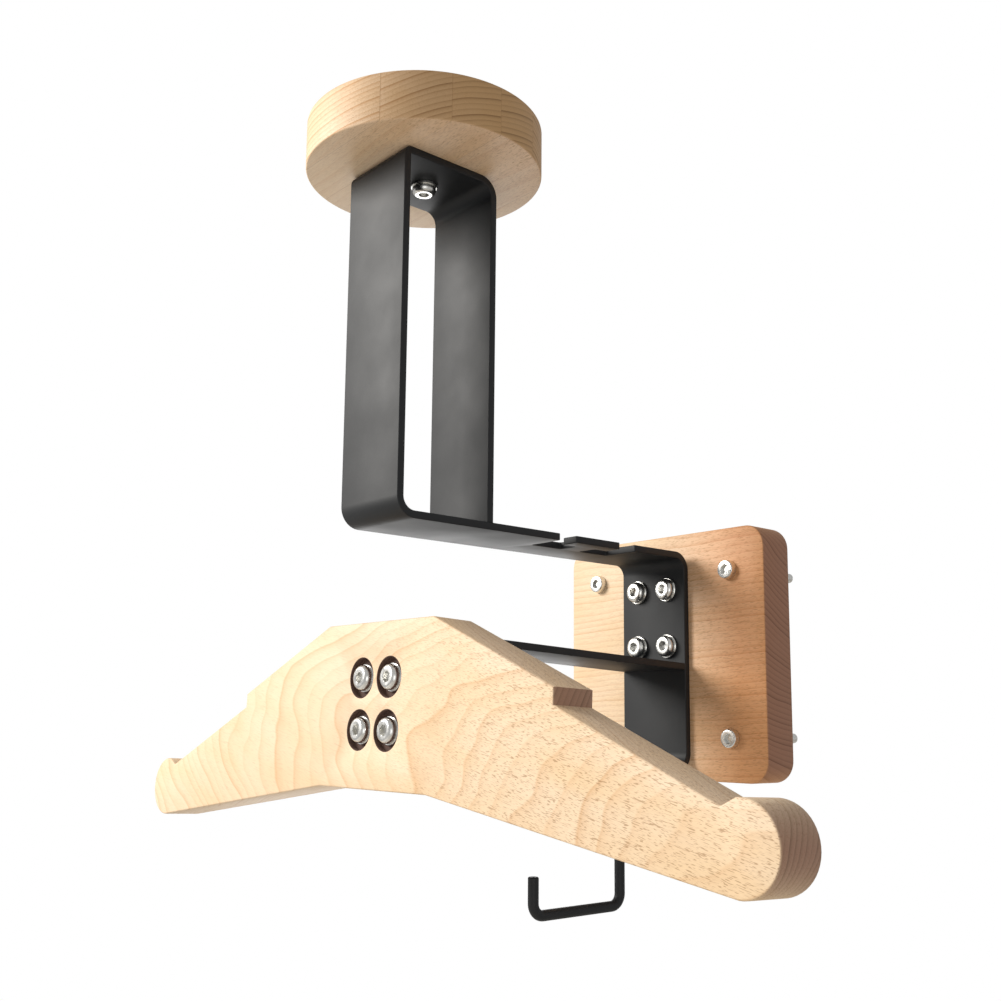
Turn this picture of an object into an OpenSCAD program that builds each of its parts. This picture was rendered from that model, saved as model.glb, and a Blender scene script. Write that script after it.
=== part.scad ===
// Wall rack for a bicycle rider's gear, in millimetres.
// A bent steel frame on a beech wall plate carries a helmet disc on top, a jacket hanger in front,
// a T-shaped strap hook in its upper arm and a rod hook under its lower loop.
// X runs to the right along the wall, Y runs into the wall and Z runs up.
// The origin is on the wall, behind the frame's middle and at the plate's mid height, and the
// rack stands out from it towards -Y.

/* [Wall plate] */
// Width of the plate along the wall
plate_width = 155; // [130:1:200]
// Height of the plate
plate_height = 148; // [148:1:200]
// Thickness of the board that the plate is cut from
plate_thickness = 24; // [20:1:32]
// Radius of the plate's four corners
plate_corner = 13; // [4:1:20]
// Distance of each wall screw from the plate's nearest two edges
wall_screw_inset = 25; // [14:1:27]
// How far the plate's middle lies to the right of the frame's middle
plate_offset = 3; // [0:0.5:6]

/* [Steel frame] */
// Width of the flat strip that the frame is bent from
strip_width = 50; // [50:1:60]
// Thickness of the strip
strip_thickness = 4; // [3:0.5:6]
// Inside radius of the frame's bends
bend_radius = 7; // [4:0.5:10]
// Inside radius of the sharp folds, at the top of the front post and at the loop's front
fold_radius = 0.6; // [0.3:0.1:3]
// Distance from the wall to the front post's outer face
post_reach = 242; // [210:1:300]
// Distance between the outer faces of the front and back posts
post_depth = 62; // [52:1:90]
// Height of the upper arm's top face above the plate's centre
arm_height = 62; // [56:1:66]
// Height of the posts' top face above the upper arm's top face
post_height = 190; // [120:1:260]
// Depth below the plate's centre at which the wall flange turns into the lower arm
flange_drop = 57.7; // [57:0.1:60]
// Height of the lower loop, between the outer faces of its two arms
loop_height = 64; // [60:1:66]
// Length of the lower loop along its arms, from the flange's back to the face in front
loop_length = 189; // [150:1:230]
// Angle by which the lower loop rises towards its front
loop_rise = 2.5; // [0:0.5:5]

/* [Strap hook] */
// Distance from the wall to the middle of the strap hook
hook_middle = 101.5; // [90:0.5:130]
// Length of the hook's head along the arm
hook_head_length = 35; // [28:1:45]
// Width of the hook's head, in from the arm's edge
hook_head_width = 11; // [8:0.5:12]
// Width of the stem that joins the head to the arm
hook_stem = 15; // [12:1:18]
// Width of the slots that a strap slips through
strap_slot = 12.5; // [10:0.5:14]

/* [Helmet disc] */
// Diameter of the disc
disc_diameter = 128; // [100:1:200]
// Thickness of the disc
disc_thickness = 26; // [20:1:36]

/* [Jacket hanger] */
// Width of the hanger from end to end
hanger_width = 482; // [400:1:560]
// Thickness of the hanger board
hanger_thickness = 23.5; // [20:0.5:30]
// Height of the hanger's flat top above the middle of its four bolts
hanger_top = 41; // [36:1:50]
// Depth of its flat bottom below the middle of the bolts
hanger_bottom = 42; // [36:1:50]
// How far the bolts' middle lies below the middle of the loop's front
hanger_drop = 4.7; // [0:0.1:8]
// Half the width of the flat top and of the flat bottom
hanger_flat = 45; // [30:1:60]
// Distance of the strap steps from the hanger's middle
step_place = 129; // [110:1:160]
// Height of the strap steps
step_height = 7.5; // [4:0.5:12]
// Slope of the wings' top edges, in degrees
wing_slope = 22.4; // [15:0.1:30]
// Radius of the rounded ends
end_radius = 17.3; // [14:0.1:24]
// Height of the lip that keeps a garment from sliding off the end
lip_rise = 3.5; // [2:0.5:6]

/* [Rod hook] */
// Diameter of the hook's rod
rod_diameter = 6; // [5:0.5:8]
// Distance from the wall to the middle of the hook's shank
rod_place = 59.5; // [45:0.5:90]
// Length of the hook's lower leg, between the middles of shank and tip
rod_leg = 68; // [50:0.5:110]
// Depth of the lower leg's middle below the plate's centre
rod_leg_drop = 145; // [120:0.5:190]
// Height of the tip above the middle of the leg
rod_tip = 21; // [14:1:40]
// Radius of the rod's bends, to the middle of the rod
rod_bend = 7; // [5:0.5:12]
// How far the shank stands above the middle of the lower arm
rod_stand = 14; // [11:0.5:20]

/* [Fasteners] */
// Diameter of the screws and bolts that hold the frame
bolt_diameter = 6; // [5:0.5:8]
// Diameter of their button heads
head_diameter = 13; // [10:0.5:16]
// Height of their button heads
head_height = 3.8; // [2.5:0.1:5]
// Width across the flats of their hexagon sockets
socket_width = 5; // [3:0.5:6]
// Depth of their hexagon sockets
socket_depth = 2; // [1:0.1:3]
// Diameter of the washers
washer_diameter = 14.5; // [12:0.5:18]
// Thickness of the washers
washer_thickness = 1.6; // [1:0.1:2.5]
// Width across the flats of the nuts
nut_width = 10; // [8:0.5:13]
// Height of the nuts
nut_height = 5; // [4:0.5:8]
// Sideways spacing of the frame's screws and of the hanger's bolts
bolt_spacing_x = 23.5; // [18:0.5:30]
// Upright spacing of the screws in the wall flange
flange_spacing = 34.5; // [24:0.5:36]
// Height of the middle of those screws above the plate's centre
flange_screw_height = 23; // [20:0.5:26]
// Upright spacing of the hanger's bolts
hanger_spacing = 26; // [18:0.5:30]
// Diameter of the pockets that the hanger's bolt heads sit in
pocket_diameter = 20; // [16:0.5:24]
// Depth of those pockets
pocket_depth = 3.5; // [2:0.5:8]
// Diameter of the wall screws
wall_screw_diameter = 6; // [5:0.5:8]
// Diameter of the wall screws' heads
wall_head_diameter = 11.5; // [10:0.5:14]
// Height of the wall screws' heads
wall_head_height = 4; // [3:0.5:6]
// Length of the wall screws under their heads
wall_screw_length = 60; // [45:1:90]
// Outer diameter of the threaded inserts in the wood
insert_diameter = 9; // [8:0.5:11]
// Length of the threaded inserts
insert_length = 14; // [10:1:18]

/* [Clearances] */
// Gap around a bolt or screw in its hole, on the radius
hole_clearance = 0.3; // [0.2:0.05:0.6]
// Depth left free past the end of a screw in its insert hole
end_clearance = 1; // [0.5:0.5:3]

/* [Hidden] */
$fn = 64;

beech = [0.87, 0.72, 0.52];
black_steel = [0.10, 0.10, 0.11];
zinc = [0.75, 0.76, 0.78];
brass = [0.78, 0.62, 0.30];

cut = 1;                                    // how far a cut runs past the face it opens
half_t = strip_thickness / 2;
bend = bend_radius + half_t;                // bend radius to the middle of the strip
fold = fold_radius + half_t;
hole_d = bolt_diameter + 2 * hole_clearance;
rod_hole_d = rod_diameter + 2 * hole_clearance;
rise = acos(round(cos(loop_rise) * 1e6) / 1e6);     // loop_rise, with a cosine of six decimals

// The strip's middle line, as [y, z] corners
flange_y = -plate_thickness - half_t;
flange_face = -plate_thickness - strip_thickness;
front_y = -post_reach + half_t;
back_y = -post_reach + post_depth - half_t;
arm_z = arm_height - half_t;
post_z = arm_height + post_height - half_t;
elbow_y = flange_y - bend;
frame_line = [
    [back_y, arm_z], [back_y, post_z], [front_y, post_z], [front_y, arm_z], [flange_y, arm_z],
    [flange_y, -flange_drop - bend], [elbow_y, -flange_drop - bend]
];
frame_bends = [0, bend, fold, bend, bend, bend, 0];

// The lower loop's middle line in its own frame, about the centre of the flange's lower bend
loop_front = bend + strip_thickness - loop_length;
loop_top = loop_height - strip_thickness - bend;
loop_end = (bend - loop_top * sin(rise)) / cos(rise);
loop_line = [
    [bend, 0], [bend, -bend], [loop_front, -bend], [loop_front, loop_top], [loop_end, loop_top]
];
loop_bends = [0, bend, fold, fold, 0];

// The hanger's outline, about the middle of its bolts
pocket_floor = hanger_thickness - pocket_depth;
hanger_grip = pocket_floor + strip_thickness + 2 * washer_thickness + nut_height;
step_z = hanger_top - (step_place - hanger_flat) * tan(wing_slope);
end_x = hanger_width / 2 - end_radius;
lip_x = end_x - end_radius / 2;
lip_z = step_z - step_height - (lip_x - step_place) * tan(wing_slope);
end_z = lip_z + lip_rise - end_radius;
lap = 0.05;                                 // how far the board's corners stop inside its rounded ends
end_inset = 0.4;                            // the same for the corner at the foot of the rounded end
lip_tip = 2.5;                              // how far the lip ends before the rounded end's crown
right_half = [
    [hanger_flat, hanger_top], [step_place, step_z], [step_place, step_z - step_height],
    [lip_x, lip_z], [end_x - lip_tip, end_z + sqrt(pow(end_radius, 2) - pow(lip_tip, 2)) - lap],
    [end_x, end_z], [end_x - lip_tip, end_z + end_inset - end_radius], [hanger_flat, -hanger_bottom]
];

disc_y = (front_y + back_y) / 2;
disc_z = arm_height + post_height;
under_top = disc_z - strip_thickness;
insert_reach = insert_length + end_clearance;
bolt_overrun = 2.5;                         // how far the hanger's bolts run past their nuts
head_rim = 0.8;                             // height of the straight rim under a domed head
head_taper = 1.5;                           // how much narrower a wall screw's head is at its front
neck_step = 0.4;                            // how much thinner a wall screw is inside the plate
touch_gap = 0.02;                           // gap left at the edge where two pieces meet at an angle

// Where the rod hook's shank crosses the middle of the lower arm, and how far from there its
// washers sit when they touch the sloping arm by their edges
arm_run = (bend * sin(rise) - rod_place - elbow_y) / cos(rise);
shank_z = -flange_drop - arm_run * sin(rise) - bend * cos(rise);
seat = half_t / cos(rise) + washer_diameter / 2 * tan(rise) + touch_gap;

function unit(a, b) = (b - a) / norm(b - a);
function heading(a, b) = atan2(b[1] - a[1], b[0] - a[0]);
function turn_at(p, i) = let (t = heading(p[i], p[i + 1]) - heading(p[i - 1], p[i]))
    t > 180 ? t - 360 : t < -180 ? t + 360 : t;
function trim_at(p, r, i) = r[i] == 0 ? 0 : r[i] * tan(abs(turn_at(p, i)) / 2);

// Draws children made in the [y, z] plane and raised along X
module sideways() {
    rotate([90, 0, 90]) children();
}

// Flat strip that follows a line of [y, z] corners p, with a bend of radius r[i] at corner i
module strip(p, r) {
    last = len(p) - 1;
    sideways() {
        for (i = [0 : last - 1]) {
            start = p[i] + trim_at(p, r, i) * unit(p[i], p[i + 1]);
            length = norm(p[i + 1] - p[i]) - trim_at(p, r, i) - trim_at(p, r, i + 1);
            if (length > 0.01) translate([start[0], start[1], 0])
                rotate([0, 0, heading(p[i], p[i + 1])])
                    translate([0, -half_t, -strip_width / 2])
                        cube([length, strip_thickness, strip_width]);
        }
        for (i = [1 : last - 1]) strip_bend(p, r, i);
    }
}

module strip_bend(p, r, i) {
    turn = turn_at(p, i);
    side = turn > 0 ? 90 : -90;             // the bend's centre lies on the side it turns to
    way = heading(p[i - 1], p[i]);
    start = p[i] - trim_at(p, r, i) * unit(p[i - 1], p[i]);
    centre = start + r[i] * [cos(way + side), sin(way + side)];
    translate([centre[0], centre[1], 0])
        rotate([0, 0, way - side + (turn > 0 ? 0 : turn)])
            rotate_extrude(angle = abs(turn))
                translate([r[i] - half_t, -strip_width / 2])
                    square([strip_thickness, strip_width]);
}

// Places children at the corners of a rectangle in the wall's plane
module four_corners(dx, dz) {
    for (x = [-dx / 2, dx / 2], z = [-dz / 2, dz / 2]) translate([x, 0, z]) children();
}

// Turns children that point up +Z to point towards the wall, +Y
module to_wall() {
    rotate([-90, 0, 0]) children();
}

// Places children in the lower loop's frame, whose origin is the centre of the flange's lower bend
module at_loop() {
    translate([0, elbow_y, -flange_drop]) rotate([-rise, 0, 0]) children();
}

// Places children in the hanger's frame, at the middle of its bolts on the face it is bolted to
module at_hanger() {
    at_loop() translate([0, loop_front - half_t, (loop_top - bend) / 2 - hanger_drop]) children();
}

// Places children at each of the four wall screws, on the plate's back face
module at_wall_screws() {
    translate([plate_offset, 0, 0])
        four_corners(plate_width - 2 * wall_screw_inset, plate_height - 2 * wall_screw_inset)
            children();
}

// Button-head bolt along +Z with its head's seat at z = 0 and the shank running up
module button_bolt(length) {
    difference() {
        union() {
            cylinder(h = length, d = bolt_diameter);
            intersection() {
                translate([0, 0, -head_height]) cylinder(h = head_height, d = head_diameter);
                translate([0, 0, dome_radius() - head_height]) sphere(r = dome_radius());
            }
        }
        translate([0, 0, -head_height - cut])
            cylinder(h = socket_depth + cut, d = socket_width / cos(30), $fn = 6);
    }
}

// Radius of the ball that domes the head and leaves it a straight rim
function dome_radius() = let (dome = head_height - head_rim)
    (pow(head_diameter / 2, 2) + dome * dome) / (2 * dome);

module washer(bore) {
    difference() {
        cylinder(h = washer_thickness, d = washer_diameter);
        translate([0, 0, -cut]) cylinder(h = washer_thickness + 2 * cut, d = bore);
    }
}

module nut(bore) {
    difference() {
        cylinder(h = nut_height, d = nut_width / cos(30), $fn = 6);
        translate([0, 0, -cut]) cylinder(h = nut_height + 2 * cut, d = bore);
    }
}

module insert() {
    difference() {
        cylinder(h = insert_length, d = insert_diameter);
        translate([0, 0, -cut]) cylinder(h = insert_length + 2 * cut, d = bolt_diameter);
    }
}

module wall_plate() {
    color(beech) difference() {
        translate([plate_offset, -plate_thickness, 0]) to_wall() linear_extrude(plate_thickness) {
            square([plate_width, plate_height - 2 * plate_corner], center = true);
            square([plate_width - 2 * plate_corner, plate_height], center = true);
            for (x = [-1, 1], y = [-1, 1])
                translate([x * (plate_width / 2 - plate_corner), y * (plate_height / 2 - plate_corner)])
                    circle(plate_corner);
        }
        at_wall_screws() translate([0, -plate_thickness - cut, 0]) to_wall()
            cylinder(h = plate_thickness + 2 * cut, d = wall_screw_diameter + 2 * hole_clearance);
        translate([0, -plate_thickness - cut, flange_screw_height])
            four_corners(bolt_spacing_x, flange_spacing)
                to_wall() cylinder(h = insert_reach + cut, d = insert_diameter);
    }
}

module steel_frame() {
    color(black_steel) difference() {
        union() {
            strip(frame_line, frame_bends);
            at_loop() strip(loop_line, loop_bends);
        }
        strap_cut();
        translate([0, flange_face - cut, flange_screw_height])
            four_corners(bolt_spacing_x, flange_spacing)
                to_wall() cylinder(h = strip_thickness + 2 * cut, d = hole_d);
        at_hanger() four_corners(bolt_spacing_x, hanger_spacing)
            translate([0, -cut, 0]) to_wall() cylinder(h = strip_thickness + 2 * cut, d = hole_d);
        translate([0, disc_y, under_top - cut]) cylinder(h = strip_thickness + 2 * cut, d = hole_d);
        translate([0, -rod_place, shank_z - 2 * strip_thickness])
            cylinder(h = 4 * strip_thickness, d = rod_hole_d);
    }
}

// The pocket round the T-shaped strap hook in the upper arm's right edge
module strap_cut() {
    pocket_length = hook_head_length + 2 * strap_slot;
    pocket_depth_x = hook_head_width + strap_slot;
    edge = strip_width / 2;
    translate([0, -hook_middle, arm_z]) difference() {
        translate([edge - pocket_depth_x, -pocket_length / 2, -strip_thickness])
            cube([pocket_depth_x + cut, pocket_length, 2 * strip_thickness]);
        translate([edge - hook_head_width, -hook_head_length / 2, -2 * strip_thickness])
            cube([hook_head_width, hook_head_length, 4 * strip_thickness]);
        translate([edge - pocket_depth_x - cut, -hook_stem / 2, -2 * strip_thickness])
            cube([pocket_depth_x, hook_stem, 4 * strip_thickness]);
    }
}

module helmet_disc() {
    color(beech) translate([0, disc_y, disc_z]) difference() {
        cylinder(h = disc_thickness, d = disc_diameter, $fn = 128);
        translate([0, 0, -cut]) cylinder(h = insert_reach + cut, d = insert_diameter);
    }
}

module jacket_hanger() {
    left_half = [for (i = [len(right_half) - 1 : -1 : 0]) [-right_half[i][0], right_half[i][1]]];
    color(beech) at_hanger() difference() {
        union() {
            translate([0, -hanger_thickness, 0]) to_wall() linear_extrude(hanger_thickness)
                mirror([0, 1]) polygon(concat(right_half, left_half));
            hanger_end();
            mirror([1, 0, 0]) hanger_end();
        }
        four_corners(bolt_spacing_x, hanger_spacing) translate([0, -hanger_thickness - cut, 0])
            to_wall() {
                cylinder(h = hanger_thickness + 2 * cut, d = hole_d);
                cylinder(h = pocket_depth + cut, d = pocket_diameter);
            }
    }
}

// Rounded right end of the hanger, cut back above and inside the tip of its lip
module hanger_end() {
    translate([end_x, -hanger_thickness, end_z]) difference() {
        to_wall() cylinder(h = hanger_thickness, r = end_radius);
        translate([-lip_tip - end_radius, -cut, 0])
            cube([end_radius, hanger_thickness + 2 * cut, end_radius + cut]);
    }
}

module rod_hook() {
    bend_z = rod_bend - rod_leg_drop;
    tip_y = -rod_place - rod_leg;
    color(black_steel) {
        translate([0, -rod_place, bend_z]) cylinder(h = shank_z + rod_stand - bend_z, d = rod_diameter);
        translate([0, -rod_place - rod_bend, bend_z]) sideways() rotate([0, 0, -90]) rod_corner();
        translate([0, tip_y + rod_bend, -rod_leg_drop]) to_wall()
            cylinder(h = rod_leg - 2 * rod_bend, d = rod_diameter);
        translate([0, tip_y + rod_bend, bend_z]) sideways() rotate([0, 0, 180]) rod_corner();
        translate([0, tip_y, bend_z]) cylinder(h = rod_tip - rod_bend, d = rod_diameter);
    }
}

// Quarter bend of the hook's rod, about the origin
module rod_corner() {
    rotate_extrude(angle = 90) translate([rod_bend, 0]) circle(d = rod_diameter);
}

module wall_screws() {
    color(zinc) at_wall_screws() translate([0, -plate_thickness, 0]) to_wall() difference() {
        union() {
            cylinder(h = plate_thickness, d = wall_screw_diameter - neck_step);
            translate([0, 0, plate_thickness])
                cylinder(h = wall_screw_length - plate_thickness, d = wall_screw_diameter);
            translate([0, 0, -wall_head_height])
                cylinder(h = wall_head_height, d1 = wall_head_diameter - head_taper, d2 = wall_head_diameter);
        }
        translate([0, 0, -wall_head_height - cut])
            cylinder(h = socket_depth + cut, d = socket_width / cos(30), $fn = 6);
    }
}

// Places children on the wall flange's front face, at each of the frame's four screws
module at_flange_screws() {
    translate([0, flange_face, flange_screw_height])
        four_corners(bolt_spacing_x, flange_spacing) to_wall() children();
}

module frame_screws() {
    length = washer_thickness + strip_thickness + insert_length;
    color(zinc) at_flange_screws() translate([0, 0, -washer_thickness]) button_bolt(length);
}

module frame_washers() {
    color(zinc) at_flange_screws() translate([0, 0, -washer_thickness]) washer(hole_d);
}

module frame_inserts() {
    color(brass) at_flange_screws() translate([0, 0, strip_thickness]) insert();
}

// Places children at each of the hanger's four bolts, at the depth y behind its front face
module at_hanger_bolts(y) {
    at_hanger() four_corners(bolt_spacing_x, hanger_spacing)
        translate([0, y - hanger_thickness, 0]) to_wall() children();
}

module hanger_bolts() {
    color(zinc) at_hanger_bolts(pocket_depth - washer_thickness) button_bolt(hanger_grip + bolt_overrun);
}

module hanger_washers() {
    color(zinc) at_hanger_bolts(pocket_depth - washer_thickness) washer(hole_d);
}

module hanger_back_washers() {
    color(zinc) at_hanger_bolts(hanger_thickness + strip_thickness) washer(hole_d);
}

module hanger_nuts() {
    color(zinc) at_hanger_bolts(hanger_thickness + strip_thickness + washer_thickness)
        nut(bolt_diameter);
}

module disc_bolt() {
    length = washer_thickness + strip_thickness + insert_length;
    color(zinc) translate([0, disc_y, under_top - washer_thickness]) button_bolt(length);
}

module disc_washer() {
    color(zinc) translate([0, disc_y, under_top - washer_thickness]) washer(hole_d);
}

module disc_insert() {
    color(brass) translate([0, disc_y, disc_z]) insert();
}

// Places children on the hook's shank, at the height z above the middle of the lower arm
module at_shank(z) {
    translate([0, -rod_place, shank_z + z]) children();
}

module hook_nut_upper() {
    color(zinc) at_shank(seat + washer_thickness) nut(rod_diameter);
}

module hook_washer_upper() {
    color(zinc) at_shank(seat) washer(rod_hole_d);
}

module hook_washer_lower() {
    color(zinc) at_shank(-seat - washer_thickness) washer(rod_hole_d);
}

module hook_nut_lower() {
    color(zinc) at_shank(-seat - washer_thickness - nut_height) nut(rod_diameter);
}

wall_plate();
steel_frame();
helmet_disc();
jacket_hanger();
rod_hook();
wall_screws();
frame_screws();
frame_washers();
frame_inserts();
hanger_bolts();
hanger_washers();
hanger_back_washers();
hanger_nuts();
disc_bolt();
disc_washer(hole_d);
disc_insert();
hook_nut_upper();
hook_washer_upper();
hook_washer_lower();
hook_nut_lower();
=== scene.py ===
"""Looks for a wall rack: beech boards on a bent, powder-coated steel frame, with zinc-plated fixings."""

import math

import bmesh
import bpy
import numpy as np
from mathutils import Matrix, Vector
from mathutils.geometry import delaunay_2d_cdt


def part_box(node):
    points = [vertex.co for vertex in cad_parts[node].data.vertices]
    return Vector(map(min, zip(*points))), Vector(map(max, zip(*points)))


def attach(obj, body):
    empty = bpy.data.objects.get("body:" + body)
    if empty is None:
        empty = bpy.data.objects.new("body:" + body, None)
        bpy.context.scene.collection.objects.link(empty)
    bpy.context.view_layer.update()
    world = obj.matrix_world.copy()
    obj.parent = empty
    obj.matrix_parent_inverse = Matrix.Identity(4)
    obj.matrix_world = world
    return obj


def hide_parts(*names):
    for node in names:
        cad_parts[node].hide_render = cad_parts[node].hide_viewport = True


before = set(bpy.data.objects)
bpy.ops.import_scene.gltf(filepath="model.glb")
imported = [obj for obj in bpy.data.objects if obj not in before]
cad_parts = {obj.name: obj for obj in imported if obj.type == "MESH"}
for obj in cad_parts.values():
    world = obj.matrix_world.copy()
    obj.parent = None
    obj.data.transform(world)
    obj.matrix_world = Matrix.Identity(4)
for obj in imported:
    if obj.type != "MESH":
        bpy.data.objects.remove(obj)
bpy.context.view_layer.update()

bl_info = {
    "name": "Wall rack looks",
    "version": (1, 0, 0),
    "blender": (4, 5, 0),
    "location": "View3D > Sidebar > Rack",
    "description": "Builds the visible pieces of a wall rack on its packed frame",
    "category": "Object",
}

MM = 0.001
BOXES = {name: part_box(name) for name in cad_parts}
ELBOW = np.array([-35.0, -57.7])            # y, z of the flange's lower bend, about which the loop is turned
RISE = math.radians(2.5)                    # how far the lower loop climbs towards its front
HANGER = np.array([-178.0, 16.3])           # y, z of the hanger's seat, in the loop's own frame
STRIP, STRIP_WIDTH = 4.0, 50.0              # thickness and width of the steel strip
BEND, FOLD = 9.0, 2.6                       # radii of its bends and of its sharp folds, to its middle line
SCREW = 3.0                                 # radius of the screws and bolts
HEAD, WALL_HEAD, WALL_HEAD_HEIGHT = 13.0, 11.5, 4.0     # diameters of their heads, and a wall screw's height of head
WASHER = 1.6                                # thickness of a washer
BOLT_X, BOLT_Z = 11.75, 13.0                # half of the hanger bolts' spacing, sideways and upright
HANGER_BOARD, POCKET, POCKET_DEPTH = 23.5, 10.0, 3.5    # the hanger's thickness, and its pockets' radius and depth


def middle(name):
    """Centre of a CAD node's box, in millimetres."""
    low, high = BOXES[name]
    return np.array((low + high) / 2) / MM


def size(name):
    """Edge lengths of a CAD node's box, in millimetres."""
    low, high = BOXES[name]
    return np.array(high - low) / MM


class RackWood(bpy.types.PropertyGroup):
    """Sizes and colours of the three beech pieces."""

    edge: bpy.props.FloatProperty(name="Edge rounding", description="Radius of the boards' broken edges",
                                  default=0.9 * MM, unit="LENGTH")
    ring_width: bpy.props.FloatProperty(name="Ring width", description="Mean width of a growth ring, in millimetres",
                                        default=3.0)
    stave_width: bpy.props.FloatProperty(name="Stave width", description="Width of a glued stave, in millimetres",
                                         default=27.0)
    plate_corner: bpy.props.FloatProperty(name="Plate corner", description="Radius of the wall plate's corners",
                                          default=13 * MM, unit="LENGTH")
    early: bpy.props.StringProperty(name="Early wood", description="Pale wood grown in spring, as sRGB hex",
                                    default="F3DABB")
    warm: bpy.props.StringProperty(name="Warm wood", description="Warmer tone of broad streaks, as sRGB hex",
                                   default="EDCB9C")
    # this brown is also painted shade: it browns the wall plate towards its right
    heart_and_shade: bpy.props.StringProperty(name="Heartwood", description="Stain that turns the wood brown, as sRGB hex",
                                    default="DDB08A")
    late: bpy.props.StringProperty(name="Late wood", description="Darker line at the end of a ring, as sRGB hex",
                                   default="D5A573")
    ray: bpy.props.StringProperty(name="Ray flecks", description="Short brown flecks of the wood's rays, as sRGB hex",
                                  default="8F6238")
    # darker than real end grain alone: it also paints the shade on the sides that face right
    end: bpy.props.StringProperty(name="End grain", description="Wood cut across the grain, as sRGB hex",
                                  default="9C7260")


class RackMetal(bpy.types.PropertyGroup):
    """Sizes and colours of the steel frame, hook and fixings."""

    edge: bpy.props.FloatProperty(name="Edge rounding", description="Radius of the steel strip's edges",
                                  default=0.5 * MM, unit="LENGTH")
    rod: bpy.props.FloatProperty(name="Rod diameter", description="Diameter of the rod hook", default=6 * MM,
                                 unit="LENGTH")
    coat: bpy.props.StringProperty(name="Powder coat", description="Colour of the coat, as sRGB hex",
                                   default="141619")
    zinc: bpy.props.StringProperty(name="Zinc plating", description="Colour of the plated fixings, as sRGB hex",
                                   default="E2E1DD")
    brass: bpy.props.StringProperty(name="Brass", description="Colour of the inserts, as sRGB hex",
                                    default="C9A35B")


class RackStage(bpy.types.PropertyGroup):
    """Light and floor."""

    key: bpy.props.FloatProperty(name="Key light", description="Power of the large light at upper left, in watts",
                                 default=55.0)
    fill: bpy.props.FloatProperty(name="Fill light", description="Power of the weak light near the camera, in watts",
                                  default=4.0)
    sky: bpy.props.FloatProperty(name="Room light", description="Strength of the even light from all round",
                                 default=0.42)
    gloss: bpy.props.FloatProperty(name="Reflected room", description="Brightness of the room in reflections",
                                   default=0.5)
    back: bpy.props.FloatProperty(name="Back light", description="Power of the broad light behind, in watts",
                                  default=9.0)
    floor: bpy.props.FloatProperty(name="Floor height", description="Height of the floor under the rack",
                                   default=-0.9, unit="LENGTH")


# ---- Shapes ----------------------------------------------------------------------------------------------


def piece(name, grids, polygons=(), stands_for=(), material=None, sharp=32, second=None, from_grid=0,
          seams=()):
    """One closed mesh from grids of points and flat polygons, in millimetres, with its doubles merged.

    Each grid is (points, wrap_u, wrap_v), points having the shape (u, v, 3): quads join (i, j), (i+1, j),
    (i+1, j+1) and (i, j+1), with the last row or column joined to the first where it wraps. Grids from number
    from_grid on take the second material, if there is one. Flat polygons stay flat-shaded. Where shapes join end to
    end at a depth y listed in seams, the faces between them are left out, so that they make one skin."""
    verts, quads, flats, base = [], [], [], 0
    for points, wrap_u, wrap_v in grids:
        nu, nv = points.shape[:2]
        i, j = np.meshgrid(np.arange(nu if wrap_u else nu - 1), np.arange(nv if wrap_v else nv - 1), indexing="ij")
        a, b = (i + 1) % nu, (j + 1) % nv
        quads.append(base + np.stack([i * nv + j, a * nv + j, a * nv + b, i * nv + b], -1).reshape(-1, 4))
        verts.append(points.reshape(-1, 3))
        base += nu * nv
    for points, faces in polygons:
        verts.append(points)
        flats += [[base + k for k in face] for face in faces]
        base += len(points)
    for y in seams:
        there = np.abs(np.concatenate(verts)[:, 1] - y) < 1e-6
        quads = [q[~there[q].all(1)] for q in quads]
        flats = [f for f in flats if not there[f].all()]
    mesh = bpy.data.meshes.new(name)
    mesh.from_pydata((np.concatenate(verts) * MM).tolist(), [], np.concatenate(quads).tolist() + flats)
    counts = [len(q) for q in quads]
    curved = np.arange(len(mesh.polygons)) < sum(counts)
    later = curved & (np.arange(len(mesh.polygons)) >= sum(counts[:from_grid]))
    mesh.polygons.foreach_set("use_smooth", curved)
    mesh.polygons.foreach_set("material_index", later.astype(int) * (second is not None))
    work = bmesh.new()
    work.from_mesh(mesh)
    bmesh.ops.remove_doubles(work, verts=work.verts, dist=2e-6)
    bmesh.ops.dissolve_degenerate(work, dist=1e-7, edges=work.edges)
    bmesh.ops.recalc_face_normals(work, faces=work.faces)
    work.to_mesh(mesh)
    work.free()
    mesh.set_sharp_from_angle(angle=math.radians(sharp))
    obj = bpy.data.objects.new(name, mesh)
    bpy.context.scene.collection.objects.link(obj)
    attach(obj, "root")
    if stands_for:
        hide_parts(*stands_for)
    for item in filter(None, (material, second)):
        mesh.materials.append(item)
    return obj


def rounded(corners, radii, step=8.0):
    """Closed or open outline whose corners are arcs: at each corner the arc starts radius * tan(turn / 2) before it
    and follows the circle that touches both sides. A radius of 0 keeps the corner sharp."""
    corners = [np.array(c, float) for c in corners]
    out = []
    for k, (corner, r) in enumerate(zip(corners, radii)):
        if r == 0:
            out.append(corner[None])
            continue
        before, after = corners[k - 1] - corner, corners[(k + 1) % len(corners)] - corner
        before, after = before / np.linalg.norm(before), after / np.linalg.norm(after)
        half = math.acos(np.clip(before @ after, -1, 1)) / 2
        centre = corner + (before + after) / np.linalg.norm(before + after) * r / math.sin(half)
        start, end = corner + before * r / math.tan(half) - centre, corner + after * r / math.tan(half) - centre
        a0 = math.atan2(start[1], start[0])
        turn = (math.atan2(end[1], end[0]) - a0 + math.pi) % (2 * math.pi) - math.pi
        a = a0 + np.linspace(0, 1, max(3, int(abs(math.degrees(turn)) / step) + 1)) * turn
        out.append(centre + r * np.stack([np.cos(a), np.sin(a)], -1))
    return np.concatenate(out)


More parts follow.
